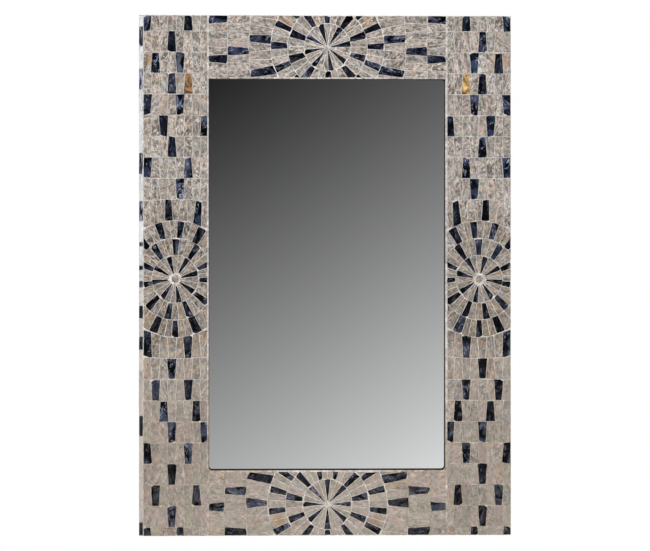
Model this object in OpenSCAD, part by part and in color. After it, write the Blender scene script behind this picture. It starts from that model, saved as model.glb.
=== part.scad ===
// Wall mirror: a wooden frame faced with a shell mosaic of rows and starburst rosettes, hung on two rings.
// Millimetres. The wall is the plane y = 0, the mirror faces -Y, and z = 0 is half its height.

/* [Frame] */
// Width of the whole frame
frame_w = 508; // [460:1:640]
// Height of the whole frame
frame_h = 700; // [620:1:900]
// Seen width of the left and right uprights
stile_w = 90; // [84:0.5:104]
// Seen height of the top rail
top_rail_h = 85.3; // [80:0.1:96]
// Seen height of the bottom rail
bottom_rail_h = 87.8; // [80:0.1:96]
// Thickness of the boards
board_t = 25; // [22:0.5:32]
// Thickness of the lip in front of the glass
lip_t = 3; // [2.5:0.1:5]
// How far the pocket for the glass reaches behind the lip
pocket_reach = 10; // [8:0.5:12]
// Diameter of the dowels in the corner joints
dowel_d = 8; // [6:0.5:10]
// Length of the dowels in the corner joints
dowel_l = 40; // [30:1:60]
// Distance between the two dowels of a corner
dowel_spacing = 32; // [24:1:40]

/* [Mosaic] */
// Thickness of the shell tiles
tile_t = 2.5; // [1.8:0.1:4]
// Width of the grout joint between tiles
joint_w = 1; // [0.6:0.1:1.6]
// How far the grout lies below the tile faces
grout_recess = 0.3; // [0.1:0.05:0.6]
// Number of tiles side by side across an upright or a rail
tiles_across = 8; // [6:1:10]
// Length of a tile row along an upright
stile_row = 28.3; // [24:0.1:34]
// Length of a tile row along a rail
rail_row = 29.6; // [24:0.1:34]
// How far a tile's side leans between its two ends
tile_lean = 1.1; // [0:0.1:2]
// How far the second row line bows back towards the rosette at both its ends
row_bow = 2.7; // [0:0.1:4]
// How far a hand-cut edge strays from its place
stray = 0.35; // [0:0.05:0.6]
// Narrowest sliver that is still laid as a tile
least_tile = 1.4; // [1:0.1:2]
// Size of the chip off a corner of a dark tile
chip = 1.3; // [0.4:0.1:2]
// Size of the second chip of a dark tile
second_chip = 0.9; // [0.3:0.1:1.6]
// Size of the chip off a corner of a cream tile
cream_chip = 0.6; // [0.2:0.1:1.2]
// Width of the bare grout along the glass
sight_band = 1.7; // [1:0.1:3]
// Width of the bare grout along the outer corner
corner_band = 0.4; // [0.2:0.1:1]
// Thickness of the grout on the inner faces of the opening
reveal_t = 1.2; // [0.8:0.1:2]

/* [Rosettes] */
// Height of the rosettes on the uprights, above the frame's middle
stile_rosette_z = -4.7; // [-20:0.1:20]
// Distance of those rosettes from the frame's outer edge
stile_rosette_x = 44; // [38:0.1:50]
// Distance of the top rosette from the frame's top edge
top_rosette_in = 42.7; // [38:0.1:48]
// Distance of the bottom rosette from the frame's bottom edge
bottom_rosette_in = 42.1; // [38:0.1:48]
// Radius of the round centre tile
disc_r = 5; // [3:0.1:6]
// Radius at which the rays of the side rosettes start
ray_start_r = 7.6; // [7:0.1:10]
// Radius of the rays
ray_r = 32.3; // [28:0.1:36]
// Radius of the second ring
middle_ring_r = 55.2; // [50:0.1:60]
// Radius of the outer ring
outer_ring_r = 78.7; // [72:0.1:84]
// How much wider the bottom rosette's rings are than those of the others
bottom_ring_growth = 1.055; // [1:0.005:1.1]

/* [Glazing] */
// Thickness of the mirror pane
pane_t = 3; // [2:0.1:5]
// Space between the pane and the pocket's walls
pane_gap = 2; // [1:0.1:3]
// Thickness of the black seal in front of the pane
seal_t = 1; // [0.6:0.1:2]
// Width of the seal that shows beside the glass
seal_sight = 1.6; // [0.8:0.1:3]
// Width of the seal that shows below the glass
seal_sight_bottom = 2.3; // [0.8:0.1:3]
// Thickness of the hardboard behind the pane
backing_t = 3; // [2:0.1:5]
// Width of the wooden beads that hold the backing
bead_w = 9; // [8:0.5:12]
// Depth of the beads
bead_h = 9; // [7:0.5:11]
// Diameter of the pins through the beads
pin_d = 1.6; // [1.2:0.1:2.2]
// Length of those pins
pin_l = 22; // [18:1:30]
// Distance of a pin from the end of its bead
pin_inset = 60; // [40:1:80]
// Length of the blocks below the pane
block_l = 30; // [20:1:50]

/* [Hanging] */
// Height of the rubber bumpers on the wall side
bumper_h = 6; // [5.5:0.1:9]
// Diameter of the bumpers
bumper_d = 12; // [8:0.5:18]
// Distance of the bumpers from the frame's outer edges
bumper_inset = 20; // [14:0.5:30]
// Height of the hanging rings' hinges above the frame's middle
hanger_z = 205; // [150:1:240]
// Diameter of the ring wire
wire_d = 2.6; // [2:0.1:3]
// Radius of the ring's round end, at the middle of the wire
ring_r = 10.5; // [9:0.5:14]
// Bend radius of the ring's corners, at the middle of the wire
ring_bend_r = 3.5; // [3:0.1:5]
// Width of the hanger strap
strap_w = 12; // [10:0.5:13]
// Length of the hanger strap below its barrel
strap_l = 31; // [28:0.5:44]
// Thickness of the folded strap
strap_t = 2; // [1.2:0.1:2.4]
// Wall of the barrel that the ring turns in
barrel_wall = 1.2; // [0.8:0.1:1.6]
// Running clearance around the ring wire, on the radius
hinge_gap = 0.05; // [0.02:0.01:0.09]
// Shank diameter of the hanger screws
screw_d = 3.5; // [3:0.1:4.5]
// Length of the hanger screws below the head
screw_l = 17; // [12:0.5:20]
// Head diameter of the hanger screws
screw_head_d = 7; // [6:0.1:8]
// Head height of the hanger screws
screw_head_h = 2; // [1.2:0.1:2.4]
// Length of the two crossed slots in a screw's head
slot_l = 4.2; // [3:0.1:5]
// Width of those slots
slot_w = 1; // [0.6:0.1:1.4]
// Distance of the first screw below the hinge
screw_first = 7.6; // [7:0.1:9]
// Distance between the two screws of a strap
screw_pitch = 15.4; // [15:0.1:24]
// Clearance around pins, screws and dowels in the wood, on the radius
wood_gap = 0.03; // [0.02:0.01:0.1]

/* [Hidden] */
$fn = 48;

CREAM = 0;
DARK = 1;
AMBER = 2;
cream_colour = "#c4b6a2";
dark_colour = "#1c2231";
amber_colour = "#9a6a2a";
grout_colour = "#d8d0c6";
board_colour = "#b08d62";
steel_colour = "#b9bcc0";

half_w = frame_w / 2;
half_h = frame_h / 2;
opening_half_w = half_w - stile_w;
opening_top = half_h - top_rail_h;
opening_bottom = -half_h + bottom_rail_h;

back_y = -bumper_h;
front_y = back_y - board_t;
pocket_y = front_y + lip_t;
pane_y = pocket_y + seal_t;
backing_y = pane_y + pane_t;
bead_y = backing_y + backing_t;

pocket_half_w = opening_half_w + reveal_t + pocket_reach;
pocket_top = opening_top + reveal_t + pocket_reach;
pocket_bottom = opening_bottom - reveal_t - pocket_reach;
pane_half_w = pocket_half_w - pane_gap;
pane_top = pocket_top - pane_gap;
pane_bottom = pocket_bottom + pane_gap;

hanger_x = half_w - stile_w / 2;
barrel_r = wire_d / 2 + hinge_gap + barrel_wall;
hinge_y = back_y + barrel_r;
dowel_y = back_y - board_t / 2;
pin_y = bead_y + bead_h / 2;

// Outline arithmetic
// A small number that looks random and is always the same for the same three counts
function odd(a, b, c) = let (v = sin(a * 127.1 + b * 311.7 + c * 74.7 + 11) * 4375.85) v - floor(v) - 0.5;

// The part of a convex outline where n * p <= d
function cut(pts, n, d) = let (last = len(pts) - 1) [
    for (i = [0:1:last])
        let (
            p = pts[i],
            q = pts[i == last ? 0 : i + 1],
            sp = n * p - d,
            sq = n * q - d
        )
        each concat(
            sp <= 0 ? [p] : [],
            sp * sq < 0 ? [p + (q - p) * sp / (sp - sq)] : []
        )
];

// An anticlockwise outline's edge i: the direction out of it and how far out it lies
function edge_normal(pts, i) = let (e = pts[(i + 1) % len(pts)] - pts[i]) [e.y, -e.x] / norm(e);

// The outline with every edge moved in by g
function inset(pts, g, rest = undef, i = 0) = let (now = is_undef(rest) ? pts : rest)
    i >= len(pts) || len(now) < 3 ? now
        : let (n = edge_normal(pts, i)) inset(pts, g, cut(now, n, n * pts[i] - g), i + 1);

// The outline without points that lie on the one before
function tidy(pts) = [
    for (i = [0:1:len(pts) - 1])
        if (norm(pts[i] - pts[(i + len(pts) - 1) % len(pts)]) > joint_w / 4) pts[i]
];

// The outline cut to a rectangle
function within(pts, lo, hi) =
    cut(cut(cut(cut(pts, [-1, 0], -lo.x), [1, 0], hi.x), [0, -1], -lo.y), [0, 1], hi.y);

function middle(pts) = [for (i = [0:1:len(pts) - 1]) 1] * pts / len(pts);

// The narrowest span of a convex outline
function span(pts) = min([
    for (i = [0:1:len(pts) - 1])
        let (n = edge_normal(pts, i)) max([for (p = pts) n * (pts[i] - p)])
]);

// The outline with a corner broken off: any one of them, picked by a random number from -0.5 to 0.5
function chipped(pts, random, size) =
    let (
        m = middle(pts),
        p = pts[floor((random + 0.5) * len(pts))],
        n = (p - m) / norm(p - m)
    )
    cut(pts, n, n * p - size);

// A finished tile from its cell: cut to its field, drawn in by half a joint and chipped
// It is nothing at all where it would be too small
function tile(cell, kind, lo, hi, seed) =
    let (
        field = tidy(within(cell, lo, hi)),
        drawn = len(field) < 3 ? [] : tidy(inset(field, joint_w / 2)),
        sound = len(drawn) >= 3 && span(drawn) > least_tile,
        first = sound ? chipped(drawn, odd(seed, 3, 1), kind == DARK ? chip : cream_chip) : [],
        both = sound && kind == DARK ? chipped(first, odd(seed, 5, 2), second_chip) : first,
        shape = tidy(both)
    )
    len(shape) >= 3 && span(shape) > least_tile ? [[shape, kind]] : [];

// A strip of mosaic lies along Y, with its outer edge on x = 0 and its rosette's centre on y = 0.
// Distance of the line between two rows from the rosette's centre: the first follows the outer ring
function row_line(j, x, w, cx, row, reach) = let (t = (x - cx) / (w / 2))
    j == 0 ? sqrt(pow(reach, 2) - pow(x - cx, 2))
        : reach + j * row - (j == 1 ? row_bow * t * t : 0);

// Place across the strip of the line between tiles k and k + 1, on row line j, at a row's near or far end
// The lay is [how many tiles the first row is shifted by, the spread of its near ends, that of its far ends]
function tile_line(k, j, far, lay, w, cx) =
    let (
        pitch = w / tiles_across,
        shift = j == (far ? 1 : 0) ? lay[0] : 0,
        lean = (k % 2 == 1 ? 1 : -1) * (far ? 1 : -1) * tile_lean,
        plain = (k - shift) * pitch + lean + 2 * stray * odd(k, j, far ? 7 : 9),
        pull = j == 0 ? lay[1] : j == 1 && far ? lay[2] : 1
    )
    k <= shift ? -pitch
        : k - shift >= tiles_across ? w + pitch
        : cx + (plain - cx) * pull;

function has(list, v) = len([for (x = list) if (x == v) 1]) > 0;

// Item i of a list that starts again at its end
function again(list, i) = list[i % len(list)];

// The tiles of row j on one side of the rosette. A minus sign in the row's list makes the tile amber
function row_tiles(j, side, lay, marks, w, cx, row, reach, lo, hi) = [
    for (k = [0:1:tiles_across + (j == 0 ? ceil(lay[0]) : 0) - 1])
        let (
            near_l = tile_line(k, j, false, lay, w, cx),
            near_r = tile_line(k + 1, j, false, lay, w, cx),
            far_l = tile_line(k, j + 1, true, lay, w, cx),
            far_r = tile_line(k + 1, j + 1, true, lay, w, cx),
            place = function (x, line)
                let (held = min(max(x, 0), w)) [x, side * row_line(line, held, w, cx, row, reach)
                    + (line == 0 ? 0 : stray * odd(line, round(x), side + 3))],
            quad = [place(near_l, j), place(near_r, j), place(far_r, j + 1), place(far_l, j + 1)],
            cell = side > 0 ? quad : [quad[3], quad[2], quad[1], quad[0]],
            kind = has(marks, k + 1) ? DARK : has(marks, -(k + 1)) ? AMBER : CREAM
        )
        each tile(cell, kind, lo, hi, 13 * j + 5 * k + side)
];

// A piece of a ring between two radii and two angles, its outer end bowed
function sector(cx, r0, r1, a0, a1) = [
    [cx + r0 * cos(a0), r0 * sin(a0)],
    [cx + r1 * cos(a0), r1 * sin(a0)],
    [cx + r1 * cos((a0 + a1) / 2), r1 * sin((a0 + a1) / 2)],
    [cx + r1 * cos(a1), r1 * sin(a1)],
    [cx + r0 * cos(a1), r0 * sin(a1)]
];

// A ring of tiles with a dark one at each listed angle and two cream ones from each dark one to the next
function ring_tiles(angles, r0, r1, cx, lo, hi) = [
    for (i = [0:1:len(angles) - 1])
        let (
            a = angles[i],
            gap = (i == len(angles) - 1 ? angles[0] + 360 : angles[i + 1]) - a,
            before = i == 0 ? angles[0] - angles[len(angles) - 1] + 360 : a - angles[i - 1]
        )
        each concat(
            tile(sector(cx, r0, r1, a - before / 6, a + gap / 6), DARK, lo, hi, a + r1),
            tile(sector(cx, r0, r1, a + gap / 6, a + gap / 2), CREAM, lo, hi, a + r1 + 1),
            tile(sector(cx, r0, r1, a + gap / 2, a + 5 * gap / 6), CREAM, lo, hi, a + r1 + 2)
        )
];

// Every tile of a strip: rows beyond the rosette on both sides, then the rosette's three rings
function strip(w, cx, start_r, radii, row, up, down, up_marks, down_marks, up_lay, down_lay, rings, ends) =
    let (
        reach = radii[2],
        lo = [corner_band, -down + ends],
        hi = [w - sight_band, up - ends],
        rows = function (far) ceil((far - reach) / row)
    )
    concat(
        [for (j = [0:1:rows(up) - 1])
            each row_tiles(j, 1, up_lay, again(up_marks, j), w, cx, row, reach, lo, hi)],
        [for (j = [0:1:rows(down) - 1])
            each row_tiles(j, -1, down_lay, again(down_marks, j), w, cx, row, reach, lo, hi)],
        ring_tiles(rings[0], start_r, radii[0], cx, lo, hi),
        ring_tiles(rings[1], radii[0], radii[1], cx, lo, hi),
        ring_tiles(rings[2], radii[1], reach, cx, lo, hi)
    );

// Dark tiles of each row, counted from the outer edge, from the rosette to the frame's end
stile_up_marks = [[4, 8], [5], [1, 6], [4], [3, 8], [1, 5], [4, -6], [2, 5], [4], [1, 6]];
stile_down_marks = [[1, 6], [4], [2, 6], [3, 7], [4, 8], [1, 6], [4], [2, 7], [4], [1, 5]];
top_marks = [[4, 8], [5], [1, 6]];
bottom_marks = [[5, 8], [1, 6], [4]];

// Angles of the dark tiles in the rays, the middle ring and the outer ring, anticlockwise from the right
stile_rings = [
    [15, 57, 107, 152, 187, 235, 280, 325],
    [23, 55, 89, 124, 157, 190, 226, 259, 292, 324, 359],
    [28, 62, 84, 107, 132, 158, 186, 214, 248, 270, 292, 330]
];
top_rings = [
    [9, 54, 108, 152, 192, 232, 280, 320],
    [18, 52, 91, 123, 159, 198, 233, 272, 311, 343],
    [1, 22, 44, 68, 92, 116, 136, 155, 178, 203, 224, 247, 270, 293, 316, 339]
];
bottom_rings = [
    [0, 45, 90, 135, 180, 220, 270, 320],
    [11, 45, 75, 105, 135, 169, 202, 233, 270, 307, 338],
    [15, 35, 58, 80, 100, 122, 145, 165, 187, 207, 231, 256, 284, 309, 333, 353]
];
// The same angles from a strip's own X axis, for a strip turned by so much
function turned(rings, by) = [for (ring = rings) [for (a = ring) a - by]];

stile_up_lay = [0.5, 0.87, 0.94];
stile_down_lay = [0, 0.98, 0.99];
rail_lay = [0.5, 0.96, 1.12];
ring_radii = [ray_r, middle_ring_r, outer_ring_r];
stile_strip = strip(stile_w, stile_rosette_x, ray_start_r, ring_radii, stile_row,
    half_h - stile_rosette_z, half_h + stile_rosette_z, stile_up_marks, stile_down_marks,
    stile_up_lay, stile_down_lay, stile_rings, corner_band);
top_strip = strip(top_rail_h, top_rosette_in, joint_w, ring_radii, rail_row, opening_half_w, opening_half_w,
    top_marks, top_marks, rail_lay, rail_lay, turned(top_rings, -90), 0);
bottom_radii = ring_radii * bottom_ring_growth;
bottom_strip = strip(bottom_rail_h, bottom_rosette_in, joint_w, bottom_radii, rail_row,
    opening_half_w, opening_half_w,
    bottom_marks, bottom_marks, rail_lay, rail_lay, turned(bottom_rings, 90), 0);

// Tiles of the side faces from the frame's top edge down: their lengths in rows, and which of them are dark
side_lengths = [0.53, 0.95, 1.06, 0.99, 0.99, 0.99, 1.03, 1.02, 1.27, 0.96, 0.99, 0.21, 0.89, 0.24,
    0.5, 0.32, 0.85, 0.63, 0.82, 0.67, 0.99, 1.06, 1.06, 0.99, 0.99, 0.99, 1.03, 1.06];
side_darks = [1, 3, 7, 9, 11, 13, 15, 17, 19, 23, 28];
// The top and bottom faces have one dark tile in this many
end_repeat = 4;
end_run = frame_w - 2 * tile_t;
end_count = round(end_run / stile_row);

// Joints of a side face, as distances below the frame's top edge: the last tile takes up what is left
function side_cuts(i = 0, z = 0) =
    let (next = z + again(side_lengths, i) * stile_row)
    next > frame_h - stile_row / 3 ? [z, frame_h] : concat([z], side_cuts(i + 1, next));

// A side face lies in a plane of its own: X from the wall side to the front, Y along the edge
function edge_cell(a, b) = [[0, a], [board_t, a], [board_t, b], [0, b]];
edge_lo = corner_band;
edge_hi = board_t - corner_band;
side_edge = let (cuts = side_cuts()) [
    for (i = [0:1:len(cuts) - 2])
        each tile(edge_cell(half_h - cuts[i + 1], half_h - cuts[i]),
            has(side_darks, i % (len(side_lengths) + 1)) ? DARK : CREAM,
            [edge_lo, -half_h + corner_band], [edge_hi, half_h - corner_band], i)
];
end_edge = let (step = end_run / end_count) [
    for (i = [0:1:end_count - 1])
        each tile(edge_cell(-end_run / 2 + i * step, -end_run / 2 + (i + 1) * step),
            i % end_repeat == 1 ? DARK : CREAM,
            [edge_lo, -end_run / 2], [edge_hi, end_run / 2], end_count + i)
];

// Shapes that repeat
module box(lo, hi) {
    translate(lo) cube(hi - lo);
}

// Puts a drawing in X and Z onto the boards' front faces
module on_front(t) {
    translate([0, front_y, 0]) rotate([90, 0, 0]) linear_extrude(t) children();
}

module outlines(tiles, kind) {
    for (t = tiles) if (t[1] == kind) polygon(t[0]);
}

// The field of a strip less all its tiles
module joints(tiles, w, up, down) {
    difference() {
        translate([0, -down]) square([w, up + down]);
        for (t = tiles) polygon(t[0]);
    }
}

module left_place() {
    translate([-half_w, stile_rosette_z]) children();
}

module right_place() {
    mirror([1, 0]) left_place() children();
}

module top_place() {
    translate([0, half_h]) rotate(-90) children();
}

module bottom_place() {
    translate([0, -half_h]) rotate(90) children();
}

// Stands a side face's drawing on the left edge of the frame
module on_left_edge(t) {
    translate([-half_w + tile_t, back_y, 0]) rotate([90, 0, -90]) linear_extrude(t) children();
}

module on_right_edge(t) {
    mirror([1, 0, 0]) on_left_edge(t) children();
}

module on_top_edge(t) {
    translate([0, back_y, half_h - tile_t]) rotate([0, 0, -90]) linear_extrude(t) children();
}

module on_bottom_edge(t) {
    mirror([0, 0, 1]) on_top_edge(t) children();
}

module edge_joints(tiles, run) {
    difference() {
        translate([0, -run / 2]) square([board_t, run]);
        for (t = tiles) polygon(t[0]);
    }
}

// Wood
module glass_pocket() {
    box([-pocket_half_w, pocket_y, pocket_bottom], [pocket_half_w, 1, pocket_top]);
}

module hanger_holes() {
    for (side = [-1, 1]) for (i = [0, 1])
        translate([side * hanger_x, back_y + 1, hanger_z - screw_first - i * screw_pitch])
            rotate([90, 0, 0]) cylinder(d = screw_d + 2 * wood_gap, h = 1 + screw_l - strap_t + 1);
}

module dowels(gap) {
    for (side = [-1, 1]) for (end = [-1, 1]) for (i = [-1, 1])
        translate([side * (opening_half_w + reveal_t), dowel_y, dowel_z(end) + i * dowel_spacing / 2])
            rotate([0, 90, 0]) cylinder(d = dowel_d + 2 * gap, h = dowel_l + 2 * gap, center = true);
}

function dowel_z(end) =
    end > 0 ? (half_h - tile_t + pocket_top) / 2 : (-half_h + tile_t + pocket_bottom) / 2;

module stile_board() {
    difference() {
        box([-half_w + tile_t, front_y, -half_h + tile_t],
            [-opening_half_w - reveal_t, back_y, half_h - tile_t]);
        glass_pocket();
        hanger_holes();
        dowels(wood_gap);
        pins(wood_gap);
    }
}

module left_stile_board() {
    color(board_colour) stile_board();
}

module right_stile_board() {
    color(board_colour) mirror([1, 0, 0]) stile_board();
}

module rail_board(z0, z1) {
    difference() {
        box([-opening_half_w - reveal_t, front_y, z0], [opening_half_w + reveal_t, back_y, z1]);
        glass_pocket();
        dowels(wood_gap);
        pins(wood_gap);
    }
}

module top_rail_board() {
    color(board_colour) rail_board(opening_top + reveal_t, half_h - tile_t);
}

module bottom_rail_board() {
    color(board_colour) rail_board(-half_h + tile_t, opening_bottom - reveal_t);
}

module joint_dowels() {
    color("#cda877") dowels(0);
}

// Mosaic on the front
module left_cream_tiles() {
    color(cream_colour) on_front(tile_t) left_place() outlines(stile_strip, CREAM);
}

module right_cream_tiles() {
    color(cream_colour) on_front(tile_t) right_place() outlines(stile_strip, CREAM);
}

module top_cream_tiles() {
    color(cream_colour) on_front(tile_t) top_place() outlines(top_strip, CREAM);
}

module bottom_cream_tiles() {
    color(cream_colour) on_front(tile_t) bottom_place() outlines(bottom_strip, CREAM);
}

module left_dark_tiles() {
    color(dark_colour) on_front(tile_t) left_place() outlines(stile_strip, DARK);
}

module right_dark_tiles() {
    color(dark_colour) on_front(tile_t) right_place() outlines(stile_strip, DARK);
}

module top_dark_tiles() {
    color(dark_colour) on_front(tile_t) top_place() outlines(top_strip, DARK);
}

module bottom_dark_tiles() {
    color(dark_colour) on_front(tile_t) bottom_place() outlines(bottom_strip, DARK);
}

module amber_tiles() {
    color(amber_colour) on_front(tile_t) {
        left_place() outlines(stile_strip, AMBER);
        right_place() outlines(stile_strip, AMBER);
    }
}

module disc() {
    translate([stile_rosette_x, 0]) circle(disc_r);
}

module rosette_discs() {
    color("#c3a396") on_front(tile_t) {
        left_place() disc();
        right_place() disc();
    }
}

// Grout: the joints of the front, and the skin on the opening's inner faces back to the seal
module stile_grout() {
    on_front(tile_t - grout_recess) left_place() difference() {
        joints(stile_strip, stile_w, half_h - stile_rosette_z, half_h + stile_rosette_z);
        disc();
    }
    box([-opening_half_w - reveal_t, front_y, opening_bottom - reveal_t],
        [-opening_half_w, pocket_y, opening_top + reveal_t]);
}

module left_grout() {
    color(grout_colour) stile_grout();
}

module right_grout() {
    color(grout_colour) mirror([1, 0, 0]) stile_grout();
}

module top_grout() {
    color(grout_colour) {
        on_front(tile_t - grout_recess) top_place()
            joints(top_strip, top_rail_h, opening_half_w, opening_half_w);
        box([-opening_half_w, front_y, opening_top], [opening_half_w, pocket_y, opening_top + reveal_t]);
    }
}

module bottom_grout() {
    color(grout_colour) {
        on_front(tile_t - grout_recess) bottom_place()
            joints(bottom_strip, bottom_rail_h, opening_half_w, opening_half_w);
        box([-opening_half_w, front_y, opening_bottom - reveal_t],
            [opening_half_w, pocket_y, opening_bottom]);
    }
}

// Mosaic on the four side faces
module left_edge_cream_tiles() {
    color(cream_colour) on_left_edge(tile_t) outlines(side_edge, CREAM);
}

module right_edge_cream_tiles() {
    color(cream_colour) on_right_edge(tile_t) outlines(side_edge, CREAM);
}

module top_edge_cream_tiles() {
    color(cream_colour) on_top_edge(tile_t) outlines(end_edge, CREAM);
}

module bottom_edge_cream_tiles() {
    color(cream_colour) on_bottom_edge(tile_t) outlines(end_edge, CREAM);
}

module left_edge_dark_tiles() {
    color(dark_colour) on_left_edge(tile_t) outlines(side_edge, DARK);
}

module right_edge_dark_tiles() {
    color(dark_colour) on_right_edge(tile_t) outlines(side_edge, DARK);
}

module top_edge_dark_tiles() {
    color(dark_colour) on_top_edge(tile_t) outlines(end_edge, DARK);
}

module bottom_edge_dark_tiles() {
    color(dark_colour) on_bottom_edge(tile_t) outlines(end_edge, DARK);
}

module left_edge_grout() {
    color(grout_colour) on_left_edge(tile_t - grout_recess) edge_joints(side_edge, frame_h);
}

module right_edge_grout() {
    color(grout_colour) on_right_edge(tile_t - grout_recess) edge_joints(side_edge, frame_h);
}

module top_edge_grout() {
    color(grout_colour) on_top_edge(tile_t - grout_recess) edge_joints(end_edge, end_run);
}

module bottom_edge_grout() {
    color(grout_colour) on_bottom_edge(tile_t - grout_recess) edge_joints(end_edge, end_run);
}

// Glazing
module mirror_pane() {
    color("#9a9a9a") box([-pane_half_w, pane_y, pane_bottom], [pane_half_w, backing_y, pane_top]);
}

module glazing_seal() {
    color("#17181a") difference() {
        box([-pane_half_w, pocket_y, pane_bottom], [pane_half_w, pane_y, pane_top]);
        box([-opening_half_w + seal_sight, pocket_y - 1, opening_bottom + seal_sight_bottom],
            [opening_half_w - seal_sight, pane_y + 1, opening_top - seal_sight]);
    }
}

module setting_blocks() {
    color("#2a2b2e") for (side = [-1, 1]) translate([side * pane_half_w / 2, 0, 0])
        box([-block_l / 2, pane_y, pocket_bottom], [block_l / 2, bead_y, pane_bottom]);
}

module backing_board() {
    color("#8a6844") box([-pane_half_w, backing_y, pane_bottom], [pane_half_w, bead_y, pane_top]);
}

// The beads stand on the backing along the pocket's walls; the side ones fit between the other two
module bead_stock() {
    difference() {
        children();
        pins(wood_gap);
    }
}

module side_bead() {
    bead_stock() box([-pocket_half_w, bead_y, pocket_bottom + bead_w],
        [-pocket_half_w + bead_w, bead_y + bead_h, pocket_top - bead_w]);
}

module left_bead() {
    color("#caa36c") side_bead();
}

module right_bead() {
    color("#caa36c") mirror([1, 0, 0]) side_bead();
}

module top_bead() {
    color("#caa36c") bead_stock() box([-pocket_half_w, bead_y, pocket_top - bead_w],
        [pocket_half_w, bead_y + bead_h, pocket_top]);
}

module bottom_bead() {
    color("#caa36c") bead_stock() box([-pocket_half_w, bead_y, pocket_bottom],
        [pocket_half_w, bead_y + bead_h, pocket_bottom + bead_w]);
}

// Pins run from a bead's inner face, through it, into the board
module pins(gap) {
    for (side = [-1, 1]) {
        for (z = [pocket_bottom + pin_inset, (pocket_bottom + pocket_top) / 2, pocket_top - pin_inset])
            translate([side * (pocket_half_w - bead_w), pin_y, z]) rotate([0, side * 90, 0])
                cylinder(d = pin_d + 2 * gap, h = pin_l + gap);
        for (x = [-pocket_half_w + pin_inset, 0, pocket_half_w - pin_inset])
            translate([x, pin_y, side > 0 ? pocket_top - bead_w : pocket_bottom + bead_w])
                rotate([side > 0 ? 0 : 180, 0, 0]) cylinder(d = pin_d + 2 * gap, h = pin_l + gap);
    }
}

module bead_pins() {
    color(steel_colour) pins(0);
}

// Hangers
module hanger_strap() {
    reach = screw_first + screw_pitch;
    difference() {
        union() {
            box([-strap_w / 2, back_y, -strap_l], [strap_w / 2, back_y + strap_t, 0]);
            translate([-strap_w / 2, hinge_y, 0]) rotate([0, 90, 0]) cylinder(r = barrel_r, h = strap_w);
        }
        translate([-strap_w / 2 - 1, hinge_y, 0]) rotate([0, 90, 0])
            cylinder(d = wire_d + 2 * hinge_gap, h = strap_w + 2);
        for (z = [screw_first, reach]) translate([0, back_y - 1, -z]) rotate([-90, 0, 0])
            cylinder(d = screw_d + 2 * wood_gap, h = strap_t + 2);
    }
}

module left_hanger_strap() {
    color(steel_colour) translate([-hanger_x, 0, hanger_z]) hanger_strap();
}

module right_hanger_strap() {
    color(steel_colour) translate([hanger_x, 0, hanger_z]) hanger_strap();
}

// A ring of round wire: a straight bar in the barrel, two bends, and a round end
module wire_arc(r, start, turn) {
    rotate([90, 0, 0]) rotate([0, 0, start])
        rotate_extrude(angle = turn) translate([r, 0]) circle(d = wire_d);
}

module hanger_ring() {
    bar = ring_r - ring_bend_r;
    translate([-bar, 0, 0]) rotate([0, 90, 0]) cylinder(d = wire_d, h = 2 * bar);
    translate([bar, 0, ring_bend_r]) wire_arc(ring_bend_r, -90, 90);
    translate([-bar, 0, ring_bend_r]) wire_arc(ring_bend_r, 180, 90);
    translate([0, 0, ring_bend_r]) wire_arc(ring_r, 0, 180);
}

module left_hanger_ring() {
    color(steel_colour) translate([-hanger_x, hinge_y, hanger_z]) hanger_ring();
}

module right_hanger_ring() {
    color(steel_colour) translate([hanger_x, hinge_y, hanger_z]) hanger_ring();
}

module hanger_screw() {
    difference() {
        union() {
            translate([0, strap_t, 0]) rotate([-90, 0, 0]) cylinder(d = screw_head_d, h = screw_head_h);
            translate([0, strap_t, 0]) rotate([90, 0, 0]) cylinder(d = screw_d, h = screw_l);
        }
        for (turn = [0, 90]) rotate([0, turn, 0])
            translate([-slot_l / 2, strap_t + screw_head_h / 2, -slot_w / 2])
                cube([slot_l, screw_head_h, slot_w]);
    }
}

module hanger_screws() {
    color("#8f9296") for (side = [-1, 1]) for (z = [screw_first, screw_first + screw_pitch])
        translate([side * hanger_x, back_y, hanger_z - z]) hanger_screw();
}

module wall_bumpers() {
    color("#26272a") for (sx = [-1, 1]) for (sz = [-1, 1])
        translate([sx * (half_w - bumper_inset), back_y, sz * (half_h - bumper_inset)])
            rotate([-90, 0, 0]) cylinder(d = bumper_d, h = bumper_h);
}

left_stile_board();
right_stile_board();
top_rail_board();
bottom_rail_board();
joint_dowels();
left_cream_tiles();
right_cream_tiles();
top_cream_tiles();
bottom_cream_tiles();
left_dark_tiles();
right_dark_tiles();
top_dark_tiles();
bottom_dark_tiles();
amber_tiles();
rosette_discs();
left_grout();
right_grout();
top_grout();
bottom_grout();
left_edge_cream_tiles();
right_edge_cream_tiles();
top_edge_cream_tiles();
bottom_edge_cream_tiles();
left_edge_dark_tiles();
right_edge_dark_tiles();
top_edge_dark_tiles();
bottom_edge_dark_tiles();
left_edge_grout();
right_edge_grout();
top_edge_grout();
bottom_edge_grout();
mirror_pane();
glazing_seal();
setting_blocks();
backing_board();
left_bead();
right_bead();
top_bead();
bottom_bead();
bead_pins();
left_hanger_strap();
right_hanger_strap();
left_hanger_ring();
right_hanger_ring();
hanger_screws();
wall_bumpers();
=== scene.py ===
"""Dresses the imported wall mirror: tiles, grout, pane, woodwork and hangers, and the studio round it.

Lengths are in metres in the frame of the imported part: +Z up, the mirror faces -Y, the wall is y = 0.
"""

import math
import random

import bmesh
import bpy
from bpy.props import FloatProperty, FloatVectorProperty, IntProperty, PointerProperty
from bpy.types import Operator, Panel, PropertyGroup
from mathutils import Matrix, Vector, noise


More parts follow.
